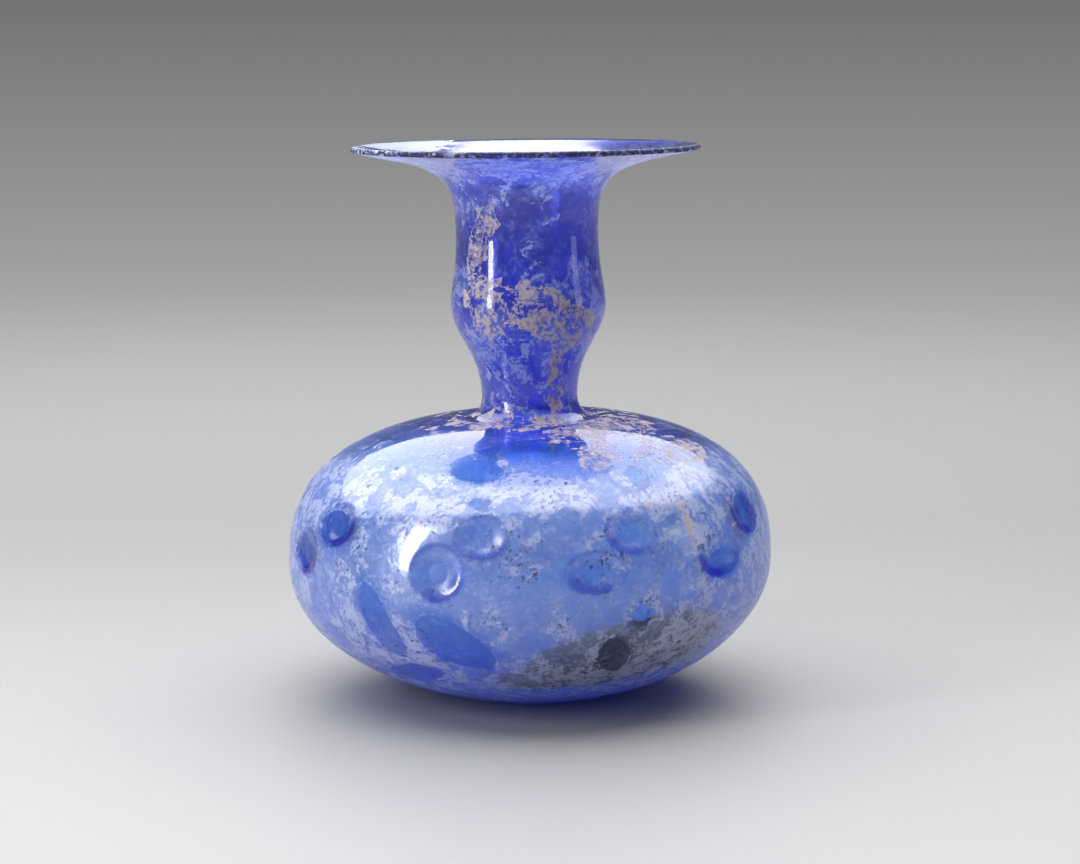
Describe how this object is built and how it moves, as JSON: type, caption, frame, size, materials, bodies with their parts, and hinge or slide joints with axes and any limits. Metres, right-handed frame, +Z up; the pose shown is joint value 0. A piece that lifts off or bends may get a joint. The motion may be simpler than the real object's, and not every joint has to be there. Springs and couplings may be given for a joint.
{
  "type": "glass perfume flask",
  "caption": "Squat hand-blown glass flask with two rows of pressed dents, a waisted and swollen neck and a wide flat rim, for perfumed oil or scent.",
  "frame": {"origin": "middle of the underside, on the plane that the foot ring stands on", "axes": "+Z up through the neck, -Y towards the side seen in the picture, +X to that viewer's right"},
  "size_m": [0.0712, 0.0712, 0.0803],
  "materials": {
    "cobalt_glass": "weathered glossy glass, cobalt blue, with whitish film and buff crust in patches"
  },
  "bodies": {
    "root": {"glass_flask": "cobalt_glass"}
  },
  "joints": []
}
